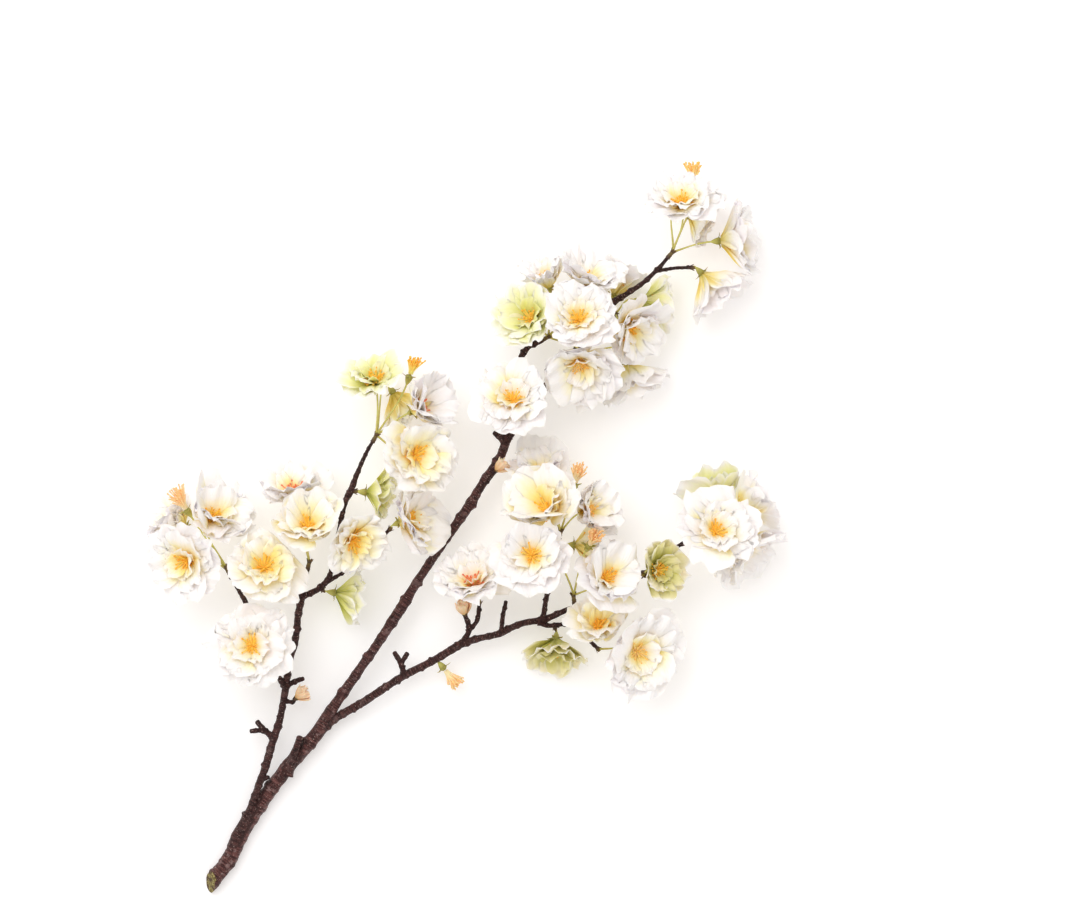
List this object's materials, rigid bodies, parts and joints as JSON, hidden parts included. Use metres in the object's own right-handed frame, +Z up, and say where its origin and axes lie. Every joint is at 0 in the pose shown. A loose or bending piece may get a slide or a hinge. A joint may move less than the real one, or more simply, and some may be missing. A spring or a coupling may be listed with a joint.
{
  "type": "cut branch of double blossom",
  "caption": "Cut woody branch, forked and crooked, lying down, with clusters of ruffled double white blossom on thin green stalks; decorative, rests on any flat surface.",
  "frame": {"origin": "centre of the bounding box in plan, at the height of the surface that the branch lies on", "axes": "+Y runs along the branch from the cut end towards the tips, +Z is up from the surface, through the thin direction of the lying branch, and +X is to the right as seen from above"},
  "size_m": [0.3932, 0.4554, 0.077],
  "materials": {
    "bark": "dark reddish brown bark with pale pores and scuffs, satin",
    "green_stalk": "yellow-green living stalks and calyxes, with yellow-orange stamens, semi-matte",
    "petal_white": "soft white petal with fine pleats, slightly translucent, matte",
    "petal_cream": "cream petal, yellower at the base, slightly translucent, matte",
    "petal_green": "pale green-tinged petal, slightly translucent, matte"
  },
  "bodies": {
    "root": {"petals_left_1": "petal_white", "petals_left_2": "petal_white", "petals_left_3": "petal_white", "petals_left_4": "petal_cream", "petals_left_5": "petal_white", "petals_low_1": "petal_white", "petals_low_10": "petal_white", "petals_low_11": "petal_green", "petals_low_2": "petal_cream", "petals_low_3": "petal_cream", "petals_low_4": "petal_cream", "petals_low_5": "petal_white", "petals_low_6": "petal_cream", "petals_low_7": "petal_white", "petals_low_8": "petal_cream", "petals_low_9": "petal_green", "petals_mid_1": "petal_green", "petals_mid_11": "petal_white", "petals_mid_2": "petal_white", "petals_mid_3": "petal_cream", "petals_mid_4": "petal_cream", "petals_mid_5": "petal_green", "petals_mid_6": "petal_cream", "petals_mid_7": "petal_cream", "petals_mid_8": "petal_green", "petals_mid_9": "petal_cream", "petals_right_1": "petal_white", "petals_right_2": "petal_green", "petals_right_3": "petal_white", "petals_right_4": "petal_white", "petals_tip_1": "petal_white", "petals_tip_2": "petal_white", "petals_tip_3": "petal_white", "petals_tip_4": "petal_white", "petals_upper_1": "petal_green", "petals_upper_10": "petal_white", "petals_upper_2": "petal_white", "petals_upper_3": "petal_white", "petals_upper_4": "petal_white", "petals_upper_5": "petal_white", "petals_upper_6": "petal_cream", "petals_upper_7": "petal_green", "petals_upper_8": "petal_cream", "petals_upper_9": "petal_white", "stalks_bend": "green_stalk", "stalks_centre": "green_stalk", "stalks_crest": "green_stalk", "stalks_fork": "green_stalk", "stalks_fork_flower": "green_stalk", "stalks_left": "green_stalk", "stalks_outer": "green_stalk", "stalks_pair": "green_stalk", "stalks_right": "green_stalk", "stalks_shoulder": "green_stalk", "stalks_spur": "green_stalk", "stalks_tip": "green_stalk", "stalks_upper": "green_stalk", "wood": "bark"}
  },
  "joints": []
}
